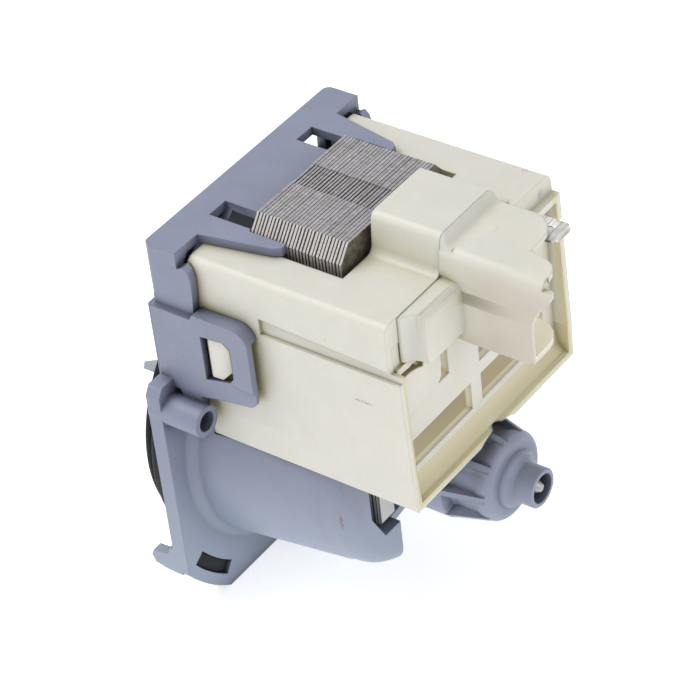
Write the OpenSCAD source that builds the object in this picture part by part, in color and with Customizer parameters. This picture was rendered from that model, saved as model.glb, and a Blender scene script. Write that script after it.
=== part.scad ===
// Washer drain pump with a synchronous motor.
// Origin: on the pump axis, in the front plane of the mounting flange.
// +Y runs along the pump axis to the rear, +Z up to the motor, +X to one side.

/* [Mounting flange] */
// Width of the flange plate
flange_w = 73.8; // [72:0.1:78]
// Thickness of the flange plate
flange_t = 3.4; // [2.6:0.1:4]
// Radius of the flange's rounded corners about the pump axis
flange_corner_r = 43.8; // [43:0.1:46]
// Lowest point of the flange below the pump axis
flange_drop = 36.1; // [35:0.1:39]
// Highest point of the flange above the pump axis
flange_rise = 25.6; // [25:0.1:28]
// Distance between the two screw bosses
boss_spacing = 67.2; // [66.4:0.1:68]
// Height of the screw bosses above the pump axis
boss_z = 19.3; // [17:0.1:20]
// Outer diameter of a screw boss
boss_d = 6.9; // [6.4:0.1:7.6]
// Diameter of a screw hole
screw_hole_d = 4.4; // [3.6:0.1:4.8]
// Depth of a boss behind the flange's front face
boss_depth = 12.3; // [9:0.1:15]
// Width of the corner slots, measured outward
slot_w = 3.2; // [2.4:0.1:4]
// Inner radius of the corner slots
slot_r = 38; // [37:0.1:38.8]

/* [Front seal] */
// Outer diameter of the spigot that carries the gasket
spigot_d = 62; // [60:0.1:64]
// Length of the spigot in front of the flange
spigot_len = 5.7; // [5:0.1:8]
// Outer diameter of the flange gasket
gasket_d = 70; // [68:0.1:71]
// Thickness of the flange gasket
gasket_t = 4; // [3:0.1:4.6]
// Outer diameter of the black front disc
disc_d = 65.6; // [64:0.1:67]
// Thickness of the front disc
disc_t = 1.5; // [1.2:0.1:2]
// Thickness of the gasket's ears behind the corner slots
ear_t = 1.4; // [1:0.1:2]

/* [Hoop bracket] */
// Thickness of the hoop's top strip
strip_t = 2; // [1.6:0.1:2.4]
// Thickness of the hoop's side plates
side_t = 1.9; // [1.5:0.1:2.4]
// Front to rear depth of the top strip
strip_depth = 7.9; // [7:0.1:8.4]
// Length of the fingers, from the front plane
finger_len = 25.3; // [22:0.1:28]
// Thickness of the snap loops
loop_t = 3.2; // [2.8:0.1:3.6]
// Furthest point of the snap loops behind the front plane
loop_len = 24.1; // [23.4:0.1:26]

/* [Bell] */
// Radius of the bell at the flange
bell_front_r = 31; // [30:0.1:32]
// Radius of the bell at its rear edge
bell_rear_r = 27.1; // [26:0.1:28]
// Wall thickness of the bell
bell_wall = 2; // [1.6:0.1:2.4]
// Half width of the gap between the bell's rear cheeks
cheek_gap = 10; // [8:0.1:11]

/* [Rotor canister] */
// Outer diameter of the canister in the core's bore
can_d = 24; // [23:0.1:24]
// Wall thickness of the canister
can_wall = 1; // [0.8:0.1:1.2]
// Rear face of the finned cup, from the front plane
cup_rear_y = 62; // [61.5:0.1:64]
// Shoulder where the canister narrows to the finned cup
shoulder_y = 51.8; // [51.4:0.1:52.6]
// Number of fins round the cup
fin_count = 9; // [6:1:10]
// Thickness of a fin
fin_t = 1.3; // [0.8:0.1:1.4]
// Outer diameter of the tail nozzle
nozzle_d = 8.6; // [8:0.1:9.4]
// Bore of the tail nozzle
nozzle_bore = 6.5; // [5.6:0.1:6.8]
// Length of the tail nozzle behind the cup
nozzle_len = 6.5; // [5:0.1:8]

/* [Laminated core] */
// Number of laminations
lam_count = 28; // [24:1:30]
// Pitch of the laminations
lam_pitch = 0.785; // [0.74:0.005:0.8]
// Front face of the core behind the front plane
core_y = 16.4; // [16.2:0.1:17]
// Width of the core across its legs
core_w = 35; // [34.6:0.1:36]
// Top of the core above the pump axis
core_top_z = 60; // [59.6:0.1:61]
// Height of the yoke
yoke_h = 10; // [9:0.1:10.4]
// Width of one leg
leg_w = 10; // [9.6:0.1:10.6]
// Width across the outer faces of the poles
pole_w = 29.6; // [29.4:0.1:31]
// Lowest point of the poles below the pump axis
pole_drop = 11.4; // [11:0.1:11.8]
// Diameter of the core's bore
core_bore = 24.8; // [24.6:0.1:25.4]
// Extra radius of the stepped half of each pole
pole_step = 0.6; // [0.4:0.1:0.8]
// Depth of the grooves between laminations
lam_groove = 0.14; // [0.1:0.01:0.2]

/* [Coils] */
// Wall thickness of the bobbins
bobbin_wall = 1; // [0.8:0.1:1]
// Thickness of the windings
winding_t = 4.1; // [3.6:0.1:4.2]
// Lowest flange of the bobbins
bobbin_z = 14.5; // [14:0.1:16]

/* [Coil cover] */
// Width of the cream cover
cover_w = 57; // [56:0.1:58]
// Front face of the cover
cover_y = 8.9; // [8.6:0.1:9.2]
// Rear rim of the cover
cover_rear_y = 58.8; // [58.4:0.1:60]
// Recessed rear wall of the cover
cover_back_y = 55.2; // [54:0.1:55.4]
// Underside of the cover
cover_z = 11; // [10.6:0.1:11.6]
// Top of the cover
cover_top_z = 55.2; // [54.8:0.1:55.4]
// Wall thickness of the cover
cover_wall = 1.6; // [1.2:0.1:1.8]
// Width of the raised terminal block
block_w = 16; // [15:0.1:17]
// Top of the raised terminal block
block_top_z = 64; // [63.6:0.1:66]

/* [Terminals] */
// Width of a tab terminal
tab_w = 6.3; // [6:0.1:6.4]
// Thickness of a tab terminal
tab_t = 0.8; // [0.7:0.1:0.9]
// Height of the tabs above the pump axis
tab_z = 59; // [58.4:0.1:59.2]
// Rear tips of the tabs
tab_tip_y = 72.3; // [71:0.1:74]
// Spacing of the two tabs
tab_spacing = 12; // [11.6:0.1:12.2]
// Height of the hood's roof
hood_top_z = 61.7; // [61.5:0.1:62.2]
// Thickness of the hood's sheet
hood_t = 1.2; // [0.9:0.1:1.3]
// Outer face of the hood's side wall, below its bulge
hood_side_x = 9.3; // [9.2:0.1:10]
// How far the upper half of the side wall bulges out
hood_bulge = 0.6; // [0.3:0.1:0.8]
// Underside of the hood
hood_floor_z = 40.6; // [40.4:0.1:41.4]

/* [Rotor] */
// Diameter of the shaft
shaft_d = 4; // [3.6:0.1:4.2]
// Diameter of the shaft's tail in the nozzle
tail_d = 3; // [2.6:0.1:3.2]
// Diameter of the magnet
magnet_d = 20.6; // [19.6:0.1:20.6]
// Length of the magnet
magnet_len = 24; // [22:0.1:25]
// Length of a bearing bush
bush_len = 5.6; // [5:0.1:6]
// Outer diameter of a bearing bush
bush_d = 8; // [7.6:0.1:8.6]
// Outer diameter of the rubber rings that hold the bushes
ring_d = 12.4; // [11.6:0.1:12.6]

/* [Impeller] */
// Outer diameter of the impeller
impeller_d = 42.4; // [40:0.1:44]
// Number of vanes
vane_count = 5; // [4:1:7]
// Thickness of a vane
vane_t = 1.4; // [1.2:0.1:1.8]
// Height of the vanes along the axis
vane_h = 10.4; // [9:0.1:12]
// Outer diameter of the impeller's hub
hub_d = 17; // [16.4:0.1:18]
// Wall thickness of the hub
hub_wall = 1.6; // [1.4:0.1:1.8]
// Angle that the dog and the lug each take up
dog_angle = 60; // [50:1:70]

/* [Clearances] */
// Clearance of moulded parts that slide together
fit_gap = 0.2; // [0.15:0.01:0.25]
// Radial clearance of the shaft in its bushes
running_gap = 0.04; // [0.02:0.01:0.08]
// Gap between the terminal hood and the coil cover that it seats on
seat_gap = 0.05; // [0.03:0.01:0.1]
// Clearance of parts that turn past each other
turn_gap = 0.4; // [0.35:0.01:0.5]

/* [Hidden] */

// Room for cuts that run out of a solid
over = 1;
// Smoothness of turned faces
round_fn = 96;
// Smoothness of small holes and corners
small_fn = 48;

// Body colours
blue_grey = [0.60, 0.62, 0.71];
cream = [0.86, 0.85, 0.79];
steel = [0.62, 0.62, 0.63];
copper = [0.72, 0.42, 0.24];
black_rubber = [0.10, 0.10, 0.11];
light_grey = [0.66, 0.68, 0.71];
bright_metal = [0.78, 0.78, 0.79];

// Points of an arc about [cx, cy]
function arc(cx, cy, r, a0, a1, n = 8) =
    [for (i = [0:n]) let (a = a0 + (a1 - a0) * i / n) [cx + r * cos(a), cy + r * sin(a)]];

// Points of a soft slope from [x0, z0] to just before [x1, z1], level with the wall at both ends
function wave(x0, z0, x1, z1, n) =
    [for (i = [0:n - 1]) let (t = i / n) [x0 + (x1 - x0) * (1 - cos(180 * t)) / 2, z0 + (z1 - z0) * t]];

// An outline in [X, Z], extruded from y0 to y1
module along_y(y0, y1)
    translate([0, y1, 0]) rotate([90, 0, 0]) linear_extrude(y1 - y0) children();

// An outline in [Y, Z], extruded from x0 to x1
module along_x(x0, x1)
    translate([x0, 0, 0]) rotate([90, 0, 90]) linear_extrude(x1 - x0) children();

// An outline in [X, Y], extruded from z0 to z1
module along_z(z0, z1)
    translate([0, 0, z0]) linear_extrude(z1 - z0) children();

// An outline in [radius, Y], turned about the pump axis
module turned(fn = round_fn)
    rotate([-90, 0, 0]) rotate_extrude($fn = fn) children();

// A plain disc or drilled ring on the pump axis
module ring(y0, y1, r_out, r_in = 0, fn = round_fn)
    turned(fn) translate([r_in, y0]) square([r_out - r_in, y1 - y0]);

module both_sides() {
    children();
    mirror([1, 0, 0]) children();
}

// A rectangle with rounded corners, from corner a to corner b
module round_rect(a, b, r)
    translate(a) {
        size = b - a;
        translate([r, 0]) square([size[0] - 2 * r, size[1]]);
        translate([0, r]) square([size[0], size[1] - 2 * r]);
        for (x = [r, size[0] - r], y = [r, size[1] - r])
            translate([x, y]) circle(r, $fn = small_fn);
    }

// Derived sizes of the motor
core_len = lam_count * lam_pitch;
core_rear_y = core_y + core_len;
leg_out_x = core_w / 2;
leg_in_x = leg_out_x - leg_w;
leg_x = (leg_out_x + leg_in_x) / 2;
yoke_z = core_top_z - yoke_h;
core_chamfer = 3.2;
cover_x = cover_w / 2;
cover_inner_x = cover_x - cover_wall;
cover_inner_y = cover_y + cover_wall;
cover_back_inner_y = cover_back_y - cover_wall;
cover_inner_top_z = cover_top_z - cover_wall;
cover_floor_y = 46;
sill_z = 17.6;

// Derived sizes of the pump body
hoop_x = cover_x + fit_gap + side_t;
strip_top_z = cover_top_z + fit_gap / 2 + strip_t;
strip_under_z = strip_top_z - strip_t;
strip_mid_z = strip_top_z - strip_t / 2;
loop_x = cover_x + fit_gap + loop_t;
bell_rear_y = core_rear_y + 1;
can_r = can_d / 2;
chamber_r = can_r - can_wall;
cup_r = 9.7;
cup_core_r = 9.2;
nozzle_r = nozzle_d / 2;
nozzle_end_y = cup_rear_y + nozzle_len;
boss_x = boss_spacing / 2;
flange_x = flange_w / 2;
pole_x = pole_w / 2;
panel_top_z = 43;
panel_bottom_z = 23.6;
panel_front_y = -0.4;
loop_top_z = 44.3;
loop_bottom_z = 24.4;
loop_step_y = 10.9;
loop_skin = 1.5;
web_x = 6.5;
slot_start = -33.4;
slot_end = -52;

// Derived sizes of the rotor and its bearings
shaft_r = shaft_d / 2;
rear_bush_y = cup_rear_y - 1.6 - bush_len;
front_bush_y = 1.4;
magnet_y = core_y + core_len / 2 - magnet_len / 2;
washer_t = 0.8;
hub_front_y = front_bush_y + bush_len + turn_gap + washer_t;
hub_rear_y = rear_bush_y - turn_gap - washer_t;
disc_front_y = -spigot_len - disc_t;
impeller_back_y = disc_front_y - 0.7;
impeller_front_y = impeller_back_y - vane_h;
hub_r = hub_d / 2;
dog_room_r = hub_r - hub_wall;
hub_core_r = 4.6;
cap_rear_y = front_bush_y + bush_len;
cap_front_y = -spigot_len;
o_ring_r = 0.9;
o_ring_y = -1.6;
seal_r = 7.2;

// Derived places of the terminal hood
hood_front_y = cover_back_y + fit_gap + seat_gap;
hood_edge_y = 78.4;
roof_far_x = 8.4;
shoulder_r = 2;
shoulder_x = hood_side_x + 0.4 - shoulder_r;

// Flange plate seen from the front
module flange_outline() {
    intersection() {
        translate([-flange_x, -flange_drop]) square([flange_w, flange_drop + flange_rise]);
        circle(flange_corner_r, $fn = round_fn);
    }
}

// Curved slot in each lower corner of the flange
module corner_slots() {
    both_sides()
        along_y(-over, flange_t + over)
            sector(slot_r, slot_r + slot_w, slot_end, slot_start);
}

// Bell: a tapered shell with a rear wall, open where the motor enters
module bell_shell() {
    edge_r = 4;
    fillet_r = 2.4;
    collar_y = 32.5;
    collar_step = 0.25;
    collar_r = bell_rear_r + (bell_front_r - bell_rear_r) * (bell_rear_y - edge_r - collar_y) / bell_rear_y;
    rear_arc = arc(bell_rear_r - edge_r, bell_rear_y - edge_r, edge_r, 8, 90);
    fillet = arc(bell_front_r + fillet_r - 0.4, flange_t + fillet_r, fillet_r, 270, 186, 10);
    collar = [[collar_r + collar_step, collar_y], [collar_r, collar_y + 0.5]];
    difference() {
        turned()
            polygon(concat([[0, 0], [bell_front_r + fillet_r - 0.4, 0]], fillet, collar, rear_arc,
                [[0, bell_rear_y]]));
        turned()
            polygon([
                [0, flange_t], [bell_front_r - bell_wall, flange_t],
                [bell_rear_r - bell_wall, bell_rear_y - 2 * bell_wall],
                [bell_rear_r - 2 * bell_wall, bell_rear_y - bell_wall], [0, bell_rear_y - bell_wall]
            ]);
    }
}

// Walls of the pocket that the poles slide into
module pole_pocket(grow) {
    wide_x = 19 + grow;
    foot_x = pole_x + 0.4 + grow;
    foot_z = -pole_drop - 2.2 - grow;
    polygon([
        [-wide_x, cover_z], [-wide_x, -6.5], [-foot_x, foot_z],
        [foot_x, foot_z], [wide_x, -6.5], [wide_x, cover_z]
    ]);
}

module bell() {
    cheek_y = 28;
    pocket_wall = 1.6;
    difference() {
        union() {
            bell_shell();
            intersection() {
                along_y(flange_t / 2, bell_rear_y) pole_pocket(pocket_wall);
                turned()
                    polygon([[0, 0], [bell_front_r, 0], [bell_rear_r - 1, bell_rear_y], [0, bell_rear_y]]);
            }
        }
        along_y(core_y - 0.6, bell_rear_y + over) pole_pocket(0);
        along_y(flange_t, core_y - 0.6 - bell_wall) pole_pocket(0);
        // Room above for the coil cover
        along_y(cover_y - fit_gap, bell_rear_y + over)
            translate([-50, cover_z - fit_gap]) square([100, 60]);
        // The bottom is cut away between the rear cheeks
        along_y(cheek_y, bell_rear_y + over)
            translate([-cheek_gap, -40]) square([2 * cheek_gap, 40 - pole_drop + 1.2]);
    }
}

// Canister, finned cup and nozzle, in [radius, Y]
cup_profile = concat(
    [[can_r, 0], [can_r, shoulder_y - 0.5], [can_r - 0.4, shoulder_y], [cup_core_r + 0.3, shoulder_y + 0.2],
     [cup_core_r - 0.1, shoulder_y + 1.4], [cup_core_r, cup_rear_y - 4], [cup_r - 0.1, cup_rear_y - 2.8]],
    arc(cup_r - 2, cup_rear_y - 2, 2, 10, 90),
    [[6.3, cup_rear_y], [6.1, cup_rear_y + 0.7], [5.5, cup_rear_y + 1.5],
     [nozzle_r + 0.2, cup_rear_y + 1.8], [nozzle_r, cup_rear_y + 2.4],
     [nozzle_r, nozzle_end_y - 0.3], [nozzle_r - 0.3, nozzle_end_y]]
);

module canister() {
    turned() polygon(concat([[0, 0]], cup_profile, [[0, nozzle_end_y]]));
    first_fin = 4;
    root_r = cup_core_r - 0.8;
    fin_y = shoulder_y - 1;
    fin = [[root_r, fin_y], [can_r - 0.1, fin_y], [can_r - 0.1, shoulder_y], [cup_r + 0.1, cup_rear_y - 1.6],
        [cup_r - 0.7, cup_rear_y - 0.5], [root_r, cup_rear_y - 0.5]];
    for (i = [0:fin_count - 1])
        rotate([0, -first_fin - i * 360 / fin_count, 0]) fin_plate(fin);
}

// One fin, standing out along +X in the plane of the axis
module fin_plate(outline)
    translate([0, 0, -fin_t / 2]) linear_extrude(fin_t) polygon(outline);

// Room inside the canister for the rotor, its bearings and its cap
module canister_bore() {
    ring_front_y = rear_bush_y - 0.2;
    chamber_end_y = shoulder_y - 3;
    narrow_r = cup_core_r - 1.3;
    turned() polygon([
        [0, -spigot_len - over], [chamber_r, -spigot_len - over], [chamber_r, chamber_end_y - 2],
        [narrow_r, chamber_end_y], [narrow_r, ring_front_y], [ring_d / 2, ring_front_y],
        [ring_d / 2, rear_bush_y + bush_len], [nozzle_bore / 2, rear_bush_y + bush_len],
        [nozzle_bore / 2, nozzle_end_y + over], [0, nozzle_end_y + over]
    ]);
}

// Top strip with its fingers, tongue and windows
module strip_outline() {
    finger_x = leg_out_x + 0.3;
    half = [
        [0, 0], [hoop_x, 0], [hoop_x, strip_depth], [23.3, strip_depth],
        [20.2, finger_len - 1.4], [19.2, finger_len], [finger_x, finger_len],
        [finger_x, core_y + 0.2], [finger_x - 0.6, core_y - fit_gap], [0, core_y - fit_gap]
    ];
    window = [[11.8, 6.1], [17, 6.1], [17, core_y + over], [14.6, core_y + over], [11.8, 13.6]];
    difference() {
        polygon(concat(half, [for (i = [len(half) - 1:-1:0]) [-half[i][0], half[i][1]]]));
        for (side = [-1, 1])
            scale([side, 1]) polygon(window);
    }
}

// Side plate above the ledge, in [Y, Z]
module side_outline()
    polygon([
        [0, panel_top_z - 1], [0, strip_mid_z], [7.6, strip_mid_z], [7.6, 55],
        [6.9, 53.7], [8.2, 53.8], [9.5, 54.5], [10.5, 53.5], [11, 51.6], [10.8, 47.2], [10.3, panel_top_z - 1]
    ]);

// Lower panel and snap loop, in [Y, Z]
module loop_outline() {
    upper_r = 3.6;
    lower_r = 2.2;
    difference() {
        polygon(concat([[panel_front_y, panel_top_z], [10.2, panel_top_z], [11, loop_top_z]],
            arc(loop_len - upper_r, loop_top_z - upper_r, upper_r, 90, 0),
            arc(loop_len - lower_r, loop_bottom_z + 0.8 + lower_r, lower_r, 0, -80, 5),
            [[14.1, loop_bottom_z], [10, panel_bottom_z], [panel_front_y, panel_bottom_z]]));
        loop_window();
    }
}

// Window of the snap loop
module loop_window()
    polygon([[12.4, 39.6], [17.9, 40.3], [19.7, 38.8], [19.5, 31.6], [18.1, 29.9], [12.4, 28.9]]);

// Lower bar of the snap loop, which sinks in towards its end, in [Y, Z]
module loop_step()
    polygon([
        [loop_step_y, 28.4], [12.6, 29.2], [18.2, 30.6], [19.4, 29.6], [loop_len + over, 29.4],
        [loop_len + over, 20], [loop_step_y, 20]
    ]);

// Hollow behind the thin part of the snap loop, in [Y, Z]
module loop_relief()
    polygon([[11.8, 41], [loop_len + over, 41], [loop_len + over, 20], [11.8, 20]]);

// Limits of the hoop, with its front corners rounded
module hoop_limits() {
    upper_r = 1.6;
    panel_r = 0.8;
    along_z(panel_top_z, strip_top_z + over)
        front_corners(hoop_x, 0, upper_r);
    along_z(loop_bottom_z - 2, panel_top_z)
        front_corners(loop_x, panel_front_y, panel_r);
    along_z(panel_top_z - over, loop_top_z + over)
        translate([-loop_x, panel_r]) square([2 * loop_x, 40]);
}

// A wide outline that is rounded where its sides meet the front, in [X, Y]
module front_corners(x, y, r)
    polygon(concat([[-x, 40]], arc(r - x, y + r, r, 180, 270), arc(x - r, y + r, r, 270, 360), [[x, 40]]));

module hoop() {
    step_t = 0.7;
    intersection() {
        hoop_parts();
        hoop_limits();
    }
    both_sides()
        difference() {
            along_x(cover_x + fit_gap, loop_x)
                intersection() {
                    loop_outline();
                    translate([8, panel_bottom_z - over]) square([40, 40]);
                }
            along_x(cover_x, loop_x - loop_skin) loop_relief();
            intersection() {
                along_x(loop_x - 2 * step_t, loop_x + 2) loop_step();
                along_z(20, 32)
                    polygon([
                        [loop_x, loop_step_y], [loop_x - step_t, loop_len], [loop_x - step_t, loop_len + 1],
                        [loop_x + 1, loop_len + 1], [loop_x + 1, loop_step_y]
                    ]);
            }
        }
}

// Strip, side plates, panels and ribs of the hoop
module hoop_parts() {
    along_z(strip_under_z, strip_top_z) strip_outline();
    // Middle web between the strip and the flange
    along_y(0, 2)
        translate([-web_x, flange_rise - 1]) square([2 * web_x, strip_mid_z - flange_rise + 1]);
    both_sides() {
        inner_x = cover_x + fit_gap;
        along_x(inner_x, hoop_x) side_outline();
        along_x(inner_x, loop_x)
            intersection() {
                loop_outline();
                translate([panel_front_y, panel_bottom_z - over]) square([8.1 - panel_front_y, 40]);
            }
        // Rounded upper corner of the hoop
        along_y(0, strip_depth)
            polygon(concat([[inner_x - 1.5, strip_under_z], [inner_x - 0.5, strip_top_z - 0.3]],
                arc(hoop_x - 1.5, strip_top_z - 1.5, 1.5, 80, 0, 5),
                [[hoop_x, strip_top_z - 3.5], [inner_x, strip_top_z - 3.5]]));
        // Front web that ties the side plate to the flange
        along_y(0, 2.2)
            polygon([
                [inner_x + 0.6, strip_mid_z], [inner_x + 0.6, flange_rise - 1], [21.5, flange_rise - 1],
                [24.5, 31], [25.6, strip_under_z - 7], [20, strip_mid_z]
            ]);
        // Slanted rib under the strip's window
        along_y(2, 7.6)
            polygon([[9.6, strip_mid_z], [11, strip_mid_z], [25.8, 44], [25.8, 42.2]]);
        along_y(0, 2.2)
            polygon([[9, strip_mid_z], [13, strip_mid_z], [26.5, 44], [26.5, 40.5]]);
    }
}

// Screw boss with its web and foot
module boss() {
    boss_r = boss_d / 2;
    web_y = flange_t + 2.2;
    translate([boss_x, 0, boss_z]) rotate([-90, 0, 0]) cylinder(h = boss_depth, r = boss_r, $fn = small_fn);
    // Web between the boss and the lower panel, behind an open hollow
    intersection() {
        along_y(flange_t / 2, boss_depth - 2)
            polygon([
                [boss_x - boss_r, boss_z], [boss_x - boss_r, panel_bottom_z + 0.2],
                [loop_x, panel_bottom_z + 0.2], [loop_x, boss_z]
            ]);
        along_x(0, boss_x + boss_r)
            polygon([
                [web_y, boss_z], [web_y, boss_z + boss_r - 0.5], [web_y - 1.8, 26], [20, 26], [20, boss_z]
            ]);
    }
    // Small foot under the boss's rear end
    along_y(flange_t / 2, boss_depth - 0.6)
        polygon([
            [boss_x - 1.4, boss_z - boss_r + 1], [boss_x - 1.4, boss_z - boss_r - 0.9],
            [boss_x + 0.2, boss_z - boss_r - 0.9], [boss_x + 0.2, boss_z - boss_r + 1]
        ]);
}

// Forward hook on the flange's lower side edge
module flange_hook()
    along_x(flange_x - 2.2, flange_x)
        polygon([
            [flange_t / 2, -17.4], [-0.9, -17.8], [-1.8, -19.9], [-5.4, -20.2], [-6.2, -21.8], [-5.4, -23.7],
            [-2.5, -24.3], [0, -24.4], [flange_t / 2, -24.4]
        ]);

// Spigot in front of the flange, cored from behind
module spigot() {
    face_t = 2.2;
    difference() {
        ring(-spigot_len, flange_t, spigot_d / 2);
        ring(face_t - spigot_len, flange_t + over, bell_front_r - bell_wall - 0.6, can_r + 1);
    }
}

module pump_body()
    color(blue_grey)
        difference() {
            union() {
                difference() {
                    along_y(0, flange_t) flange_outline();
                    ring(-over, flange_t + over, bell_front_r - 1);
                }
                spigot();
                bell();
                canister();
                hoop();
                both_sides() {
                    boss();
                    flange_hook();
                }
            }
            canister_bore();
            corner_slots();
            both_sides()
                translate([boss_x, -over, boss_z]) rotate([-90, 0, 0])
                    cylinder(h = boss_depth + 2 * over, d = screw_hole_d, $fn = small_fn);
        }

module flange_gasket() {
    lip_r = gasket_d / 2;
    inner_r = spigot_d / 2;
    ear_r = slot_r + slot_w + 0.6;
    plug_sink = 0.8;
    plug_turn = 0.4;
    color(black_rubber) {
        turned() polygon(concat([[inner_r, 0], [lip_r - 0.6, 0]], arc(lip_r - 1, -1, 1, 60, 0, 4),
            arc(lip_r - 1.2, -gasket_t / 2, 1.2, 20, -20, 4), arc(lip_r - 1, 1 - gasket_t, 1, 0, -60, 4),
            [[lip_r - 0.8, -gasket_t], [inner_r, -gasket_t]]));
        both_sides()
            along_y(-ear_t, 0)
                sector(lip_r - 2.5, ear_r, slot_end - 2, slot_start - 2.4);
        // Each ear is held by a plug in its slot
        both_sides()
            along_y(-ear_t, flange_t - plug_sink)
                sector(slot_r + fit_gap, slot_r + slot_w - fit_gap,
                    slot_end + plug_turn, slot_start - plug_turn);
    }
}

module front_disc() {
    rim_r = disc_d / 2;
    hole_r = 9.4;
    color(black_rubber)
        turned() polygon(concat([[hole_r, -spigot_len], [rim_r - 0.4, -spigot_len]],
            arc(rim_r - disc_t / 2, disc_front_y + disc_t / 2, disc_t / 2, 40, -60, 5),
            [[rim_r - 1, disc_front_y], [hole_r, disc_front_y]]));
}

// Cap that closes the canister and carries the front bush
module canister_cap()
    color(light_grey)
        difference() {
            ring(cap_front_y, cap_rear_y, chamber_r - fit_gap / 2);
            ring(front_bush_y, cap_rear_y + over, ring_d / 2, 0);
            ring(cap_front_y - over, front_bush_y - 1, seal_r, 0);
            ring(cap_front_y, cap_rear_y, shaft_r + 0.6, 0);
            ring(o_ring_y - o_ring_r, o_ring_y + o_ring_r, chamber_r + over, chamber_r - 2 * o_ring_r);
        }

module cap_o_ring()
    color(black_rubber)
        turned() translate([chamber_r - o_ring_r, o_ring_y]) circle(o_ring_r, $fn = 32);

// Lip seal in front of the bush
module shaft_seal() {
    lip_r = shaft_r + running_gap;
    color(black_rubber)
        turned() polygon([
            [lip_r, -5], [lip_r + 0.9, -5.3], [seal_r, -5.3], [seal_r, 0.4], [5, 0.4], [5, -2.4],
            [lip_r + 1, -3.4], [lip_r, -4.2]
        ]);
}

module bush(y)
    color([0.66, 0.55, 0.36])
        ring(y, y + bush_len, bush_d / 2, shaft_r + running_gap);

module bush_ring(y, len)
    color(black_rubber)
        ring(y, y + len, ring_d / 2, bush_d / 2);

module front_bearing() bush(front_bush_y);
module front_bearing_ring() bush_ring(front_bush_y, bush_len);
module rear_bearing() bush(rear_bush_y);
module rear_bearing_ring() bush_ring(rear_bush_y, bush_len);

// One lamination, drawn in by inset on its outer faces
module lamination_outline(inset) {
    half = [
        [0, core_top_z - inset], [leg_out_x - core_chamfer + 0.25 - inset / 2, core_top_z - inset],
        [leg_out_x - inset, core_top_z - core_chamfer - 0.3 - inset / 2], [leg_out_x - inset, cover_z + 2],
        [pole_x - inset, cover_z - 2.5], [pole_x - inset, -pole_drop + inset],
        [cheek_gap + inset, -pole_drop + inset], [cheek_gap + inset, -2], [leg_in_x + inset, 0],
        [leg_in_x + inset, yoke_z + inset], [0, yoke_z + inset]
    ];
    mark_w = 7.1;
    mark_depth = 0.25;
    difference() {
        polygon(concat(half, [for (i = [len(half) - 1:-1:0]) [-half[i][0], half[i][1]]]));
        circle(core_bore / 2 + inset, $fn = round_fn);
        // The stepped halves let the rotor park at an angle
        intersection() {
            circle(core_bore / 2 + pole_step + inset, $fn = round_fn);
            union() {
                square([40, 40]);
                translate([-40, -40]) square([40, 40]);
            }
        }
        translate([-mark_w / 2, core_top_z - mark_depth - inset]) square([mark_w, over]);
    }
}

module core_stack() {
    sheet_t = lam_pitch * 0.78;
    color(steel) {
        along_y(core_y + 0.02, core_rear_y - lam_pitch + sheet_t - 0.02) lamination_outline(lam_groove);
        for (i = [0:lam_count - 1])
            along_y(core_y + i * lam_pitch, core_y + i * lam_pitch + sheet_t) lamination_outline(0);
    }
}

// A rectangle round one leg, grown by grow, in [X, Y]
module leg_rect(grow)
    translate([leg_in_x - grow, core_y - grow]) square([leg_w + 2 * grow, core_len + 2 * grow]);

bobbin_top_z = yoke_z - 0.3;
tube_grow = fit_gap + bobbin_wall;
coil_grow = tube_grow + winding_t;

module bobbin() {
    flange_grow = coil_grow + 0.15;
    color(cream)
        difference() {
            union() {
                along_z(bobbin_z, bobbin_top_z) leg_rect(tube_grow);
                along_z(bobbin_z, bobbin_z + bobbin_wall) leg_rect(flange_grow);
                along_z(bobbin_top_z - bobbin_wall, bobbin_top_z) leg_rect(flange_grow);
            }
            along_z(bobbin_z - over, bobbin_top_z + over) leg_rect(fit_gap);
        }
}

module winding()
    color(copper)
        difference() {
            along_z(bobbin_z + bobbin_wall, bobbin_top_z - bobbin_wall)
                round_rect([leg_in_x - coil_grow, core_y - coil_grow],
                    [leg_out_x + coil_grow, core_rear_y + coil_grow], winding_t - 0.5);
            along_z(bobbin_z - over, bobbin_top_z + over) leg_rect(tube_grow);
        }

module bobbin_near() bobbin();
module bobbin_far() mirror([1, 0, 0]) bobbin();
module winding_near() winding();
module winding_far() mirror([1, 0, 0]) winding();

coil_rear_y = core_rear_y + coil_grow;
link_r = 0.5;

// Wire that joins the two windings behind the core
module winding_link() {
    link_x = leg_in_x;
    link_z = 44;
    color(copper) {
        translate([-link_x, coil_rear_y + link_r, link_z]) rotate([0, 90, 0])
            cylinder(h = 2 * link_x, r = link_r, $fn = 24);
        for (side = [-1, 1])
            translate([side * link_x, coil_rear_y + link_r, link_z]) sphere(link_r, $fn = 24);
    }
}

// Thermal cut-out held against the near winding
module thermal_fuse() {
    fuse_r = 1.6;
    color([0.75, 0.7, 0.55])
        translate([leg_x, coil_rear_y + fuse_r, 28]) {
            cylinder(h = 9, r = fuse_r, $fn = 32);
            translate([0, 0, -3]) cylinder(h = 15, r = 0.4, $fn = 24);
        }
}

// Side view of the cover, in [Y, Z]
module cover_side_outline() {
    step_z = 51;
    polygon([
        [cover_y, cover_z], [cover_rear_y, cover_z], [cover_rear_y - 1.2, step_z],
        [cover_back_y + 0.6, step_z], [cover_back_y + 0.4, cover_top_z], [cover_y, cover_top_z]
    ]);
}

// Rear view of the cover, in [X, Z]: rounded top edges and drawn-in lower walls
module cover_rear_outline(inset) {
    top_r = 2;
    x = cover_x - inset;
    draft = 0.5;
    half = concat([[0, cover_z], [x - draft, cover_z], [x, 19]],
        arc(x - top_r, cover_top_z - inset - top_r, top_r, 0, 90, 6), [[0, cover_top_z - inset]]);
    polygon(concat(half, [for (i = [len(half) - 1:-1:0]) [-half[i][0], half[i][1]]]));
}

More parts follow.
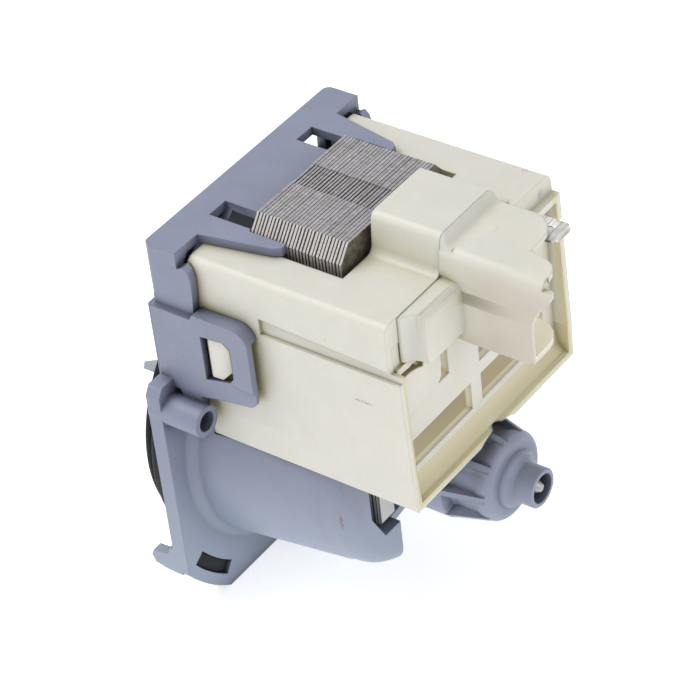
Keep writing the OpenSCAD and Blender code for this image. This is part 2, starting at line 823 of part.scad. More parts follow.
// Cross-section of the raised terminal block, in [X, Z]
module block_outline(inset) {
    x = block_w / 2;
    half = concat([[0, cover_top_z - 2], [x + 3.4, cover_top_z - 2], [x + 3.4, cover_top_z]],
        arc(x + 3.4, cover_top_z + 1.9, 1.9, 270, 190, 5), [[x + 1.1, block_top_z - 3.2]],
        arc(x - 0.9, block_top_z - 1.9, 1.9, 15, 90, 5), [[0, block_top_z]]);
    outer = concat(half, [for (i = [len(half) - 1:-1:0]) [-half[i][0], half[i][1]]]);
    if (inset == 0) polygon(outer);
    if (inset > 0)
        translate([-x + inset / 2, 0]) square([2 * x - inset, block_top_z - inset]);
}

// Windows of the recessed rear wall, in [X, Z]
module back_windows() {
    post_left = -0.6;
    post_right = 3;
    bar_z = 24.1;
    translate([post_right, sill_z]) square([20, bar_z - sill_z]);
    translate([post_left - 22.4, sill_z]) square([22.4, bar_z - sill_z]);
    translate([post_left - 22.4, 27.2]) square([22.4, 8.4]);
    polygon([[9.6, 31.4], [14.6, 31.4], [13, 33.6], [12.6, 36], [12.6, 40], [9.6, 40]]);
    polygon([
        [25.5, 41.1], [25.2, 42.5], [22.4, 42.3], [21.7, 42.5], [19.8, 42.1], [18.1, 40.6], [18.4, 39.7],
        [20.3, 40.5], [22.5, 41]
    ]);
}

// Flap that stands a little proud of the recessed rear wall, in [X, Z]
module back_flap()
    polygon(concat([[26.4, 44], [12.6, 44], [12.6, 34.4]], arc(15.6, 35, 3, 190, 262, 6),
        [[23, 31.5], [26.4, 31.2]]));

// Block with a sloped front edge that the snap loop catches on
module catch() {
    catch_x = loop_x - 0.6;
    intersection() {
        along_x(cover_x - 0.5, catch_x)
            polygon([[12.8, 39.1], [17.3, 39.6], [18.9, 38.1], [18.9, 32.7], [16.3, 29.9], [12.8, 29.7]]);
        along_z(29, 40)
            polygon([
                [cover_x - 1, 12], [catch_x - 0.8, 12], [catch_x - 0.8, 12.8], [catch_x, 13.8],
                [catch_x + 1, 20], [cover_x - 1, 20]
            ]);
    }
}

// Shallow groove along the side of the cover, in [Y, Z]
module side_groove()
    polygon([[25, 42.5], [25, 46.4], [cover_rear_y, 44.8], [cover_rear_y, 42.4]]);

// Raised floor inside the rear windows, which clears the canister
module rear_ledge() {
    front_z = 14.8;
    difference() {
        along_x(-cover_inner_x - 0.4, cover_inner_x + 0.4)
            polygon([
                [cover_floor_y, cover_z + 0.5], [cover_floor_y, front_z],
                [cover_back_inner_y + 0.4, sill_z - 0.3], [cover_back_inner_y + 0.4, cover_z + 0.5]
            ]);
        cover_arch(cover_floor_y - over, cover_back_y);
    }
}

module cover_arch(y0, y1) {
    arch_r = can_r + 0.6;
    along_y(y0, y1) circle(arch_r, $fn = round_fn);
}

module coil_cover() {
    inner_rear_y = cover_rear_y + over;
    floor_z = cover_z + cover_wall;
    recess_top_z = 49.4;
    color(cream) {
        difference() {
            union() {
                intersection() {
                    along_x(-cover_x, cover_x) cover_side_outline();
                    along_y(0, cover_rear_y + over) cover_rear_outline(0);
                }
                along_y(core_rear_y + 1.2, cover_back_y + 0.2) block_outline(0);
                both_sides() catch();
            }
            // Coil chamber
            intersection() {
                along_y(cover_inner_y, cover_back_inner_y) cover_rear_outline(cover_wall);
                translate([-50, 0, floor_z]) cube([100, 100, 100]);
            }
            along_y(cover_inner_y, cover_floor_y)
                translate([-cover_inner_x + 1, cover_z - over])
                    square([2 * cover_inner_x - 2, 2 * over + cover_wall]);
            // Opening for the yoke, from the front edge back
            along_z(cover_inner_top_z - 4, cover_top_z + over)
                translate([-leg_out_x - 1.8, 0]) square([2 * leg_out_x + 3.6, core_rear_y + 1.2]);
            // Hollow of the terminal block
            along_y(core_rear_y + 2.6, cover_back_y - 1)
                intersection() {
                    block_outline(1.6);
                    translate([-20, cover_inner_top_z - 1]) square([40, 40]);
                }
            along_y(cover_back_y - 2, cover_back_y + over)
                translate([-7, tab_z - 1.6]) square([14, 3.2]);
            // Rear recess with its sloped sill
            intersection() {
                along_x(-cover_inner_x, cover_inner_x)
                    polygon([
                        [cover_back_y, 17.5], [cover_back_y + 1, 13.9], [cover_back_y + 2.4, floor_z],
                        [inner_rear_y, floor_z - 0.2], [inner_rear_y, recess_top_z],
                        [cover_back_y, recess_top_z]
                    ]);
                along_y(0, inner_rear_y) cover_rear_outline(cover_wall);
            }
            // Room for the terminal hood and its cheek
            along_y(cover_back_y + fit_gap, inner_rear_y)
                polygon([
                    [-hood_side_x, 70], [-hood_side_x, 48], [-4, 48], [-4, 38], [hood_side_x, 38],
                    [hood_side_x, 44], [cover_x + over, 44], [cover_x + over, 70]
                ]);
            along_y(cover_back_inner_y - over, cover_back_y + over) back_windows();
            both_sides()
                along_x(cover_x - 0.8, cover_x + over) side_groove();
            cover_arch(0, inner_rear_y);
        }
        rear_ledge();
        along_y(cover_back_inner_y + 0.5, cover_back_y + 0.7)
            difference() {
                back_flap();
                back_windows();
            }
    }
}

// Roof of the hood, in [X, Y]
module roof_outline() {
    polygon([
        [-roof_far_x, hood_front_y], [-roof_far_x, 65.6], [-7.7, 67.8], [-6.2, 69.7], [-4.2, 70.8],
        [-1.4, 71.2], [2, 71.2], [2.6, 73], [3.1, 75.6], [4, 77.2], [5.6, 78.2],
        [shoulder_x, 78.8], [shoulder_x, hood_front_y]
    ]);
}

// Slope behind the crest of the terminal block, in [Y, Z]
module crest_slope()
    polygon([
        [hood_front_y, hood_top_z - hood_t], [hood_front_y, block_top_z],
        [hood_front_y + 0.3, block_top_z - 0.1], [hood_front_y + 0.8, block_top_z - 0.7],
        [hood_front_y + 1.4, hood_top_z + 0.5], [hood_front_y + 2, hood_top_z + 0.1],
        [hood_front_y + 2.6, hood_top_z], [hood_front_y + 2.6, hood_top_z - hood_t]
    ]);

// Wall of the hood, in [X, Z]: it bulges out, draws in and runs straight down
module hood_wall_outline() {
    steps = 12;
    shoulder_z = hood_top_z - shoulder_r;
    crest_z = 55.8;
    hollow_z = 51.4;
    hollow_x = -0.3;
    straight_z = 49.4;
    outer = concat(
        wave(shoulder_x + shoulder_r, shoulder_z, hood_side_x + hood_bulge, crest_z, steps / 2),
        wave(hood_side_x + hood_bulge, crest_z, hood_side_x + hollow_x, hollow_z, steps),
        wave(hood_side_x + hollow_x, hollow_z, hood_side_x, straight_z, steps / 2),
        [[hood_side_x, hood_floor_z]]
    );
    inner = [for (i = [len(outer) - 1:-1:0]) [outer[i][0] - hood_t, outer[i][1]]];
    polygon(concat(outer, inner));
}

// Side view of that wall with its scalloped rear edge, in [Y, Z]
module hood_side_outline()
    polygon([
        [hood_front_y, hood_top_z - 0.6], [hood_edge_y, hood_top_z - 0.6], [79.5, 60.6], [80.2, 59.7],
        [80.3, 58.6], [79.7, 57.2], [78.2, 55.6], [76.6, 53.2], [75.4, 51], [75, 49.6],
        [75, 41.4], [74.2, hood_floor_z],
        [cover_back_y + 4.4, hood_floor_z], [hood_front_y, 45]
    ]);

// Floor of the hood, in [X, Y]
module hood_floor_outline() {
    polygon([
        [hood_side_x - 0.2, hood_front_y], [hood_side_x - 0.2, 75], [3.7, 75], [1.6, 74.6], [-0.4, 73.4],
        [-1.8, 71.4], [-2.3, 69], [-2.3, hood_front_y]
    ]);
}

// Cheek that fills the cover's upper rear corner, in [X, Y]
module cheek_outline() {
    rear_y = 59.8;
    polygon(concat([[hood_side_x - 1, hood_front_y], [24.4, hood_front_y]],
        arc(25.6, rear_y + 0.5, 4.6, 250, 190, 5), [[20.2, rear_y], [hood_side_x - 1, rear_y]]));
}

module tab_pair_x(index) translate([-8 + index * tab_spacing, 0, 0]) children();

module terminal_hood() {
    bulkhead_rear_y = hood_front_y + 2;
    cheek_top_z = cover_top_z - 0.2;
    wall = hood_t;
    color(cream)
        difference() {
            union() {
                along_z(hood_top_z - wall, hood_top_z) roof_outline();
                intersection() {
                    along_x(0, hood_side_x + hood_bulge) hood_side_outline();
                    along_y(hood_front_y, 90) hood_wall_outline();
                }
                // Rounded shoulder between the roof and the side wall
                along_y(hood_front_y, hood_edge_y)
                    polygon(concat([[shoulder_x - 0.6, hood_top_z - wall], [shoulder_x - 0.6, hood_top_z]],
                        arc(shoulder_x, hood_top_z - shoulder_r, shoulder_r, 90, 0),
                        [[shoulder_x + shoulder_r - wall, hood_top_z - 2.4]]));
                along_z(hood_floor_z, hood_floor_z + wall) hood_floor_outline();
                // Slope from the block's crest down to the roof
                intersection() {
                    along_x(-roof_far_x, hood_side_x) crest_slope();
                    along_y(hood_front_y, hood_front_y + 4) block_outline(0);
                }
                // Bulkhead that holds the tabs
                along_y(hood_front_y, bulkhead_rear_y)
                    polygon([
                        [-11.7, tab_z - 3.4], [-11.7, tab_z + 1], [-roof_far_x, tab_z + 1],
                        [-roof_far_x, hood_top_z - wall / 2], [hood_side_x - wall / 2, hood_top_z - wall / 2],
                        [hood_side_x - wall / 2, 41], [-2.3, 41], [-2.3, tab_z - 3.4]
                    ]);
                // Cheek: top plate, rear skin and end wall
                difference() {
                    intersection() {
                        along_z(41.4, cheek_top_z) cheek_outline();
                        along_x(0, 40)
                            polygon(concat([[hood_front_y, 44.6], [hood_front_y, cheek_top_z]],
                                arc(59.8 - 2.4, cheek_top_z - 2.4, 2.4, 90, 0, 6), [[59.8, 43.4]]));
                    }
                    along_z(40, cheek_top_z - 1.4)
                        polygon([
                            [hood_side_x, hood_front_y + 1], [22.6, hood_front_y + 1], [20.6, 58.4],
                            [hood_side_x, 58.4]
                        ]);
                }
            }
            for (i = [0, 1])
                tab_pair_x(i)
                    translate([-tab_w / 2 - 0.1, hood_front_y - over, tab_z - tab_t / 2 - 0.1])
                        cube([tab_w + 0.2, 2 + 2 * over, tab_t + 0.2]);
        }
}

// A tab terminal with its tail, which reaches down into the cover
module tab_terminal(tail_x) {
    tip_bevel = 1.2;
    dimple_depth = 0.3;
    root_y = cover_back_y + 3 * fit_gap;
    tail_y = 51;
    color(bright_metal) {
        difference() {
            along_z(tab_z - tab_t / 2, tab_z + tab_t / 2)
                polygon([
                    [-tab_w / 2, root_y], [tab_w / 2, root_y], [tab_w / 2, tab_tip_y - tip_bevel],
                    [tab_w / 2 - tip_bevel, tab_tip_y], [-tab_w / 2 + tip_bevel, tab_tip_y],
                    [-tab_w / 2, tab_tip_y - tip_bevel]
                ]);
            translate([0, tab_tip_y - 3.6, tab_z + tab_t / 2 - dimple_depth])
                cylinder(h = over, r = 0.8, $fn = 24);
        }
        translate([tail_x, tail_y, tab_z - tab_t / 2]) cube([1.6, root_y + 0.4 - tail_y, tab_t]);
        translate([tail_x, tail_y, bobbin_top_z + 0.6]) cube([1.6, tab_t, tab_z - bobbin_top_z - 0.6]);
    }
}

module terminal_tab_far() tab_pair_x(0) tab_terminal(1.4);
module terminal_tab_near() tab_pair_x(1) tab_terminal(-0.8);

// Shaft with its stepped tail
module rotor_shaft() {
    tail_r = tail_d / 2;
    step_y = rear_bush_y + bush_len + 0.6;
    tip_y = nozzle_end_y - 0.2;
    front_y = impeller_front_y + 0.3;
    color(bright_metal)
        turned(small_fn) polygon([
            [0, front_y], [shaft_r - 0.3, front_y], [shaft_r, front_y + 0.3], [shaft_r, step_y],
            [tail_r, step_y], [tail_r, tip_y - 1], [tail_r - 0.7, tip_y], [0, tip_y]
        ]);
}

// Moulded hub that joins the magnet to the shaft
module rotor_hub() {
    collar_r = 3.4;
    color(light_grey)
        turned() polygon([
            [shaft_r, hub_front_y], [collar_r, hub_front_y], [collar_r, magnet_y - 2],
            [hub_core_r + 3, magnet_y - 1.2], [hub_core_r + 3, magnet_y], [hub_core_r, magnet_y],
            [hub_core_r, magnet_y + magnet_len],
            [hub_core_r + 3, magnet_y + magnet_len], [hub_core_r + 3, magnet_y + magnet_len + 1.2],
            [collar_r, magnet_y + magnet_len + 2], [collar_r, hub_rear_y], [shaft_r, hub_rear_y]
        ]);
}

module rotor_magnet()
    color([0.18, 0.17, 0.17])
        ring(magnet_y, magnet_y + magnet_len, magnet_d / 2, hub_core_r);

module thrust_washer(y)
    color([0.92, 0.9, 0.84])
        ring(y, y + washer_t, 3.9, shaft_r);

module front_thrust_washer() thrust_washer(hub_front_y - washer_t);
module rear_thrust_washer() thrust_washer(hub_rear_y);

// Sector of a ring about the axis, from a0 to a1 degrees, in [X, Z]
module sector(r_in, r_out, a0, a1)
    polygon(concat(arc(0, 0, r_out, a0, a1, 12), arc(0, 0, r_in, a1, a0, 12)));

dog_front_y = impeller_front_y + hub_wall + turn_gap;
dog_rear_y = impeller_back_y - hub_wall - turn_gap;

// Dog on the shaft that picks up the impeller's lug
module drive_dog()
    color(light_grey)
        difference() {
            union() {
                ring(dog_front_y, dog_rear_y, shaft_r + 1.2);
                along_y(dog_front_y, dog_rear_y)
                    sector(shaft_r + 0.5, dog_room_r - turn_gap, 90 - dog_angle / 2, 90 + dog_angle / 2);
            }
            ring(dog_front_y - over, dog_rear_y + over, shaft_r);
        }

// Impeller: open vanes round a hub that hides the dog
module impeller() {
    rest_angle = 31.4;
    shaft_hole_r = shaft_r + running_gap;
    tip_r = impeller_d / 2;
    plate_r = tip_r - 5;
    color(light_grey)
        difference() {
            union() {
                ring(impeller_front_y + hub_wall, impeller_back_y, hub_r);
                ring(impeller_back_y - hub_wall, impeller_back_y, plate_r);
                for (i = [0:vane_count - 1])
                    rotate([0, -rest_angle - i * 360 / vane_count, 0])
                        along_z(-vane_t / 2, vane_t / 2)
                            polygon([
                                [hub_r - 0.8, impeller_back_y], [plate_r, impeller_back_y],
                                [tip_r - 0.6, impeller_back_y - 2], [tip_r, impeller_back_y - 3],
                                [tip_r, impeller_front_y + 0.8], [tip_r - 0.8, impeller_front_y],
                                [hub_r + 2, impeller_front_y], [hub_r - 0.8, impeller_front_y + 2.5]
                            ]);
            }
            difference() {
                ring(impeller_front_y, impeller_back_y - hub_wall, dog_room_r);
                along_y(dog_front_y - turn_gap + 0.01, impeller_back_y)
                    sector(shaft_r + 1.2 + turn_gap, hub_r, 270 - dog_angle / 2, 270 + dog_angle / 2);
            }
            ring(impeller_front_y - over, impeller_back_y + over, shaft_hole_r);
        }
}

// Cap that closes the hub over the dog
module impeller_cap()
    color(light_grey)
        turned() polygon([
            [shaft_r + running_gap, impeller_front_y], [hub_r - 0.6, impeller_front_y],
            [hub_r, impeller_front_y + 0.6], [hub_r, impeller_front_y + hub_wall],
            [shaft_r + running_gap, impeller_front_y + hub_wall]
        ]);

pump_body();
flange_gasket();
front_disc();
canister_cap();
cap_o_ring();
shaft_seal();
front_bearing();
front_bearing_ring();
rear_bearing();
rear_bearing_ring();
core_stack();
bobbin_near();
bobbin_far();
winding_near();
winding_far();
winding_link();
thermal_fuse();
coil_cover();
terminal_hood();
terminal_tab_far();
terminal_tab_near();
rotor_shaft();
rotor_hub();
rotor_magnet();
front_thrust_washer();
rear_thrust_washer();
drive_dog();
impeller();
impeller_cap();
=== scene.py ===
import math
import random

import bmesh
import bpy
from mathutils import Matrix, Vector


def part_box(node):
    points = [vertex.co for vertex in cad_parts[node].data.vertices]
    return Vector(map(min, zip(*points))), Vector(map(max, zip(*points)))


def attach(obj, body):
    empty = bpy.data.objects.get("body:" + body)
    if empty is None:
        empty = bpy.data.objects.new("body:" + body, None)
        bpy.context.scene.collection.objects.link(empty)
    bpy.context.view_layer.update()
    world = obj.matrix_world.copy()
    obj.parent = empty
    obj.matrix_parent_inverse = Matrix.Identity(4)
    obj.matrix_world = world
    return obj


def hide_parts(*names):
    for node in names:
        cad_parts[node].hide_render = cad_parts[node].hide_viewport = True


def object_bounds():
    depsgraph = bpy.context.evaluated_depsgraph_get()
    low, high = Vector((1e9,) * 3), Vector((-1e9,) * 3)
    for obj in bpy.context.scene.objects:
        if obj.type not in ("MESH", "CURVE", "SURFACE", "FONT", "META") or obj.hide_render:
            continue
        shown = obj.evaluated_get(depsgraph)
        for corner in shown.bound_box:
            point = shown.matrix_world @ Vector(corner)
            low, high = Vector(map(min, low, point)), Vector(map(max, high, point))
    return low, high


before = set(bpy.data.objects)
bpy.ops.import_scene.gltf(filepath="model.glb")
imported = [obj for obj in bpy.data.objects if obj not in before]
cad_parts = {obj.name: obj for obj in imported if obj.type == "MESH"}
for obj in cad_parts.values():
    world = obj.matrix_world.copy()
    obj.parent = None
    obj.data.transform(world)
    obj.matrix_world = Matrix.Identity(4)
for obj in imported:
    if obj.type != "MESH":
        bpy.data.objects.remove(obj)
cad_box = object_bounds()

# Lengths are in metres. Points closer than WELD are joined, faces that turn by less than FLAT are one face,
# and edges that turn by more than SHARP look sharp
MM = 0.001
WELD = 0.002 * MM
FLAT = math.radians(0.4)
SHARP = math.radians(32)
random.seed(7)

# The core: how many sheets it has, the part of a sheet's pitch that its joint takes, the part after which the
# finish darkens, the half widths of the mark along it and of its flat top, and where it lies. The pole tips
# show below one height and get a painted highlight, and the yoke's rear face above another gets painted shade
# with a warm painted reflection
sheet_count = 28
sheet_joint = 0.22
joint_start = 0.79
sheet_mark = 3.5 * MM
sheet_flank = 14.5 * MM
sheet_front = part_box("core_stack")[0].y
sheet_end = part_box("core_stack")[1].y
sheet_pitch = (sheet_end - sheet_front) / (sheet_count - sheet_joint)
pole_highlight_top_z = 12 * MM
yoke_shade_low_z = 30 * MM

# The cover's rear recess: its back wall and its rim along Y, its sill and its upper end along Z, and the
# inner and outer face of its side wall along X
recess_y = 56.1 * MM
rim_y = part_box("coil_cover")[1].y
recess_low_z = 11.6 * MM
sill_z = 17.2 * MM
recess_high_z = 40 * MM
recess_side_x = 25.6 * MM
recess_outer_x = 27.6 * MM

# The room behind the recess's windows, and the hood's floor and side wall
room_front_y = 44 * MM
room_side_x = 27.2 * MM
room_low_z = 12.6 * MM
hood_floor_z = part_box("terminal_hood")[0].z + 1.2 * MM
hood_floor_y = 66 * MM
hood_side_x = 9.3 * MM

# The hood's flank that gets a painted pinkish-brown shade, and the height over which the pump's body gets
# painted light of the floor's bounce, paler downwards
flank_high_z = 61.5 * MM
flank_low_z = 57 * MM
flank_front_y = 58 * MM
flank_rear_y = 66 * MM
pale_from_z = 14 * MM
pale_to_z = -24 * MM

# The windings: the radius of the wire, the sides that a turn shows, the corner radius and the depth of a coil
wire_r = 0.26 * MM
wire_sides = 4
winding_corner = 3.6 * MM
winding_depth = 4.1 * MM


def colour(red, green, blue):
    """A colour written as it looks on a screen, from 0 to 255, as the linear one that a shader takes."""
    def linear(value):
        value /= 255
        return value / 12.92 if value <= 0.04045 else ((value + 0.055) / 1.055) ** 2.4
    return (linear(red), linear(green), linear(blue), 1.0)


# Finishes: small helpers for shader trees


def add(tree, kind, settings=None, inputs=None):
    """A node with its settings made and its inputs filled with values or joined to sockets."""
    made = tree.nodes.new(kind)
    for name, value in (settings or {}).items():
        setattr(made, name, value)
    for name, value in (inputs or {}).items():
        socket = made.inputs[name]
        if isinstance(value, bpy.types.NodeSocket):
            tree.links.new(value, socket)
        else:
            socket.default_value = value
    return made


def maths(tree, operation, first, second=0.0, clamp=False):
    """The result of a sum on two numbers or sockets."""
    made = add(tree, "ShaderNodeMath", {"operation": operation, "use_clamp": clamp}, {0: first, 1: second})
    return made.outputs[0]


def times(tree, *factors):
    """The product of masks, values and numbers. For masks it is 1 where all of them are."""
    product = factors[0]
    for factor in factors[1:]:
        product = maths(tree, "MULTIPLY", product, factor)
    return product


def weighted(tree, *parts):
    """The sum of values, each given with its weight."""
    total = times(tree, *parts[0])
    for value, weight in parts[1:]:
        total = maths(tree, "ADD", total, maths(tree, "MULTIPLY", value, weight))
    return total


def above(tree, value, limit):
    """A mask of where a value is more than its limit."""
    return maths(tree, "GREATER_THAN", value, limit)


def below(tree, value, limit):
    """A mask of where a value is less than its limit."""
    return maths(tree, "LESS_THAN", value, limit)


def blend(tree, share, first, second, way="MIX"):
    """Colour first turned into colour second by share."""
    made = add(tree, "ShaderNodeMix", {"data_type": "RGBA", "blend_type": way})
    for socket, value in ((made.inputs[0], share), (made.inputs[6], first), (made.inputs[7], second)):
        if isinstance(value, bpy.types.NodeSocket):
            tree.links.new(value, socket)
        else:
            socket.default_value = value
    return made.outputs[2]


def ranged(tree, value, low, high, new_low=0.0, new_high=1.0):
    """A value taken from one range to another, and held inside it."""
    made = add(tree, "ShaderNodeMapRange", {"clamp": True}, {
        "Value": value, "From Min": low, "From Max": high, "To Min": new_low, "To Max": new_high})
    return made.outputs[0]


def place(tree, stretch=(1, 1, 1)):
    """Where a point lies in the pump's own frame, in metres, stretched for grain that runs one way."""
    own_place = add(tree, "ShaderNodeTexCoord").outputs["Object"]
    return add(tree, "ShaderNodeMapping", None, {"Vector": own_place, "Scale": stretch}).outputs[0]


def axes(tree):
    """Where a point lies, as its X, Y and Z."""
    return add(tree, "ShaderNodeSeparateXYZ", None, {0: place(tree)}).outputs


def noise(tree, size, detail=3.0, stretch=(1, 1, 1), rough=0.55):
    """Noise with spots of about that size, in metres."""
    made = add(tree, "ShaderNodeTexNoise", None, {
        "Vector": place(tree, stretch), "Scale": 1 / size, "Detail": detail, "Roughness": rough})
    return made.outputs["Fac"]


def new_group(name, inputs, outputs):
    """An empty node group with named inputs and outputs, each (name, kind) or (name, kind, value)."""
    tree = bpy.data.node_groups.new(name, "ShaderNodeTree")
    for entry in inputs:
        socket = tree.interface.new_socket(entry[0], in_out="INPUT", socket_type=entry[1])
        if len(entry) > 2:
            socket.default_value = entry[2]
    for entry in outputs:
        tree.interface.new_socket(entry[0], in_out="OUTPUT", socket_type=entry[1])
    return tree, tree.nodes.new("NodeGroupInput"), tree.nodes.new("NodeGroupOutput")


NUMBER = "NodeSocketFloat"
VECTOR = "NodeSocketVector"


def make_moulded_grain():
    """The fine spark-eroded grain of a mould, with the slow unevenness of cooled plastic."""
    tree, given, result = new_group("moulded_grain", [("Grain", NUMBER, 0.35), ("Waves", NUMBER, 0.5)], [
        ("Height", NUMBER), ("Tone", NUMBER)])
    fine = noise(tree, 0.28 * MM, 2.0)
    coarse = noise(tree, 0.9 * MM, 3.0)
    slow = noise(tree, 9 * MM, 2.0)
    grain = weighted(tree, (fine, 1.0), (coarse, 0.6))
    height = weighted(tree, (grain, given.outputs["Grain"]), (slow, given.outputs["Waves"]))
    tree.links.new(height, result.inputs["Height"])
    tree.links.new(weighted(tree, (slow, 0.7), (coarse, 0.3)), result.inputs["Tone"])
    return tree


def make_edge_wear():
    """A mask of the outer edges, broken up as handling breaks up a shine."""
    tree, given, result = new_group("edge_wear", [("Width", NUMBER, 0.4 * MM), ("Wear", NUMBER, 1.0)], [
        ("Mask", NUMBER)])
    rounded = add(tree, "ShaderNodeBevel", {"samples": 4}, {"Radius": given.outputs["Width"]})
    flat = add(tree, "ShaderNodeNewGeometry")
    likeness = add(tree, "ShaderNodeVectorMath", {"operation": "DOT_PRODUCT"}, {
        0: rounded.outputs[0], 1: flat.outputs["Normal"]}).outputs["Value"]
    edge = ranged(tree, likeness, 0.99, 0.86)
    patches = ranged(tree, noise(tree, 3 * MM, 4.0), 0.35, 0.62)
    mask = maths(tree, "MULTIPLY", times(tree, edge, patches), given.outputs["Wear"], True)
    tree.links.new(mask, result.inputs["Mask"])
    return tree


def make_corner_shade():
    """A mask of the inner corners and narrow hollows, and one of the deepest of them: the plastics darken
    them as painted shade, and the metals lay their stains in them.
    """
    tree, given, result = new_group("corner_shade", [("Reach", NUMBER, 8 * MM), ("Depth", NUMBER, 1.0)], [
        ("Mask", NUMBER), ("Deep", NUMBER)])
    open_sky = add(tree, "ShaderNodeAmbientOcclusion", {"samples": 6}, {"Distance": given.outputs["Reach"]})
    hidden = maths(tree, "SUBTRACT", 1.0, open_sky.outputs["AO"])
    mask = maths(tree, "MULTIPLY", ranged(tree, hidden, 0.1, 0.65), given.outputs["Depth"], True)
    tree.links.new(mask, result.inputs["Mask"])
    tree.links.new(ranged(tree, hidden, 0.66, 0.92), result.inputs["Deep"])
    return tree


def make_dirt_specks():
    """A mask of scattered small specks and a few longer marks."""
    tree, given, result = new_group("dirt_specks", [("Amount", NUMBER, 0.5)], [("Mask", NUMBER)])
    spots = noise(tree, 1.3 * MM, 1.0, (1, 1, 1), 0.3)
    fields = noise(tree, 14 * MM, 2.0)
    spot_mask = ranged(tree, spots, 0.735, 0.80)
    field_mask = ranged(tree, fields, 0.48, 0.62)
    marks = noise(tree, 0.5 * MM, 2.0, (0.12, 0.5, 0.3), 0.4)
    mark_mask = ranged(tree, marks, 0.74, 0.82)
    both = maths(tree, "MAXIMUM", times(tree, spot_mask, field_mask), times(tree, mark_mask, 0.5))
    tree.links.new(maths(tree, "MULTIPLY", both, given.outputs["Amount"], True), result.inputs["Mask"])
    return tree


def make_scuff():
    """A mask of one rubbed mark round a place, drawn out one way and broken up."""
    tree, given, result = new_group("scuff", [
        ("Place", VECTOR), ("Stretch", VECTOR, (1, 1, 1)), ("Size", NUMBER, 1 * MM)], [("Mask", NUMBER)])
    away = add(tree, "ShaderNodeVectorMath", {"operation": "SUBTRACT"}, {
        0: place(tree), 1: given.outputs["Place"]}).outputs["Vector"]
    drawn = add(tree, "ShaderNodeVectorMath", {"operation": "MULTIPLY"}, {
        0: away, 1: given.outputs["Stretch"]}).outputs["Vector"]
    length = add(tree, "ShaderNodeVectorMath", {"operation": "LENGTH"}, {0: drawn}).outputs["Value"]
    near = maths(tree, "SUBTRACT", 1.0, maths(tree, "DIVIDE", length, given.outputs["Size"]), True)
    broken = ranged(tree, noise(tree, 0.45 * MM, 3.0), 0.38, 0.6)
    tree.links.new(times(tree, ranged(tree, near, 0.0, 0.5), broken), result.inputs["Mask"])
    return tree


def make_drawn_streaks():
    """Fine streaks along one way, as on rolled, drawn or turned metal."""
    tree, given, result = new_group("drawn_streaks", [("Strength", NUMBER, 1.0)], [
        ("Height", NUMBER), ("Tone", NUMBER)])
    along = noise(tree, 0.35 * MM, 4.0, (0.06, 1, 1))
    patches = noise(tree, 4 * MM, 3.0)
    tree.links.new(times(tree, along, given.outputs["Strength"]), result.inputs["Height"])
    tree.links.new(weighted(tree, (along, 0.6), (patches, 0.4)), result.inputs["Tone"])
    return tree


groups = {
    "grain": make_moulded_grain(),
    "wear": make_edge_wear(),
    "corner": make_corner_shade(),
    "specks": make_dirt_specks(),
    "scuff": make_scuff(),
    "streaks": make_drawn_streaks(),
}


def effect(tree, name, values=None):
    """One of the shared effects, placed in a material with its own values."""
    made = tree.nodes.new("ShaderNodeGroup")
    made.node_tree = groups[name]
    for key, value in (values or {}).items():
        made.inputs[key].default_value = value
    return made.outputs


def new_finish(name):
    """A material with its shader, ready for the nodes that feed it."""
    material = bpy.data.materials.new(name)
    material.use_nodes = True
    tree = material.node_tree
    shader = tree.nodes["Principled BSDF"]
    return material, tree, shader


def raise_surface(tree, shader, height, strength, depth, edge):
    """Bump from a height socket over edges rounded off by edge, joined to the shader."""
    rounded = add(tree, "ShaderNodeBevel", {"samples": 6}, {"Radius": edge})
    bump = add(tree, "ShaderNodeBump", None, {
        "Height": height, "Strength": strength, "Distance": depth, "Normal": rounded.outputs[0]})
    tree.links.new(bump.outputs[0], shader.inputs["Normal"])


def join(tree, shader, **sockets):
    """Sockets joined to the shader's inputs by name."""
    for name, socket in sockets.items():
        tree.links.new(socket, shader.inputs[name.replace("_", " ")])


def scuffed(tree, tint, marks):
    """A tint with rubbed marks, each given by its place in mm, its stretch, its size in mm and its colour."""
    for spot, stretch, size, ink in marks:
        mark = effect(tree, "scuff", {"Place": Vector(spot) * MM, "Stretch": stretch, "Size": size * MM})
        tint = blend(tree, times(tree, mark["Mask"], 0.75), tint, colour(*ink))
    return tint


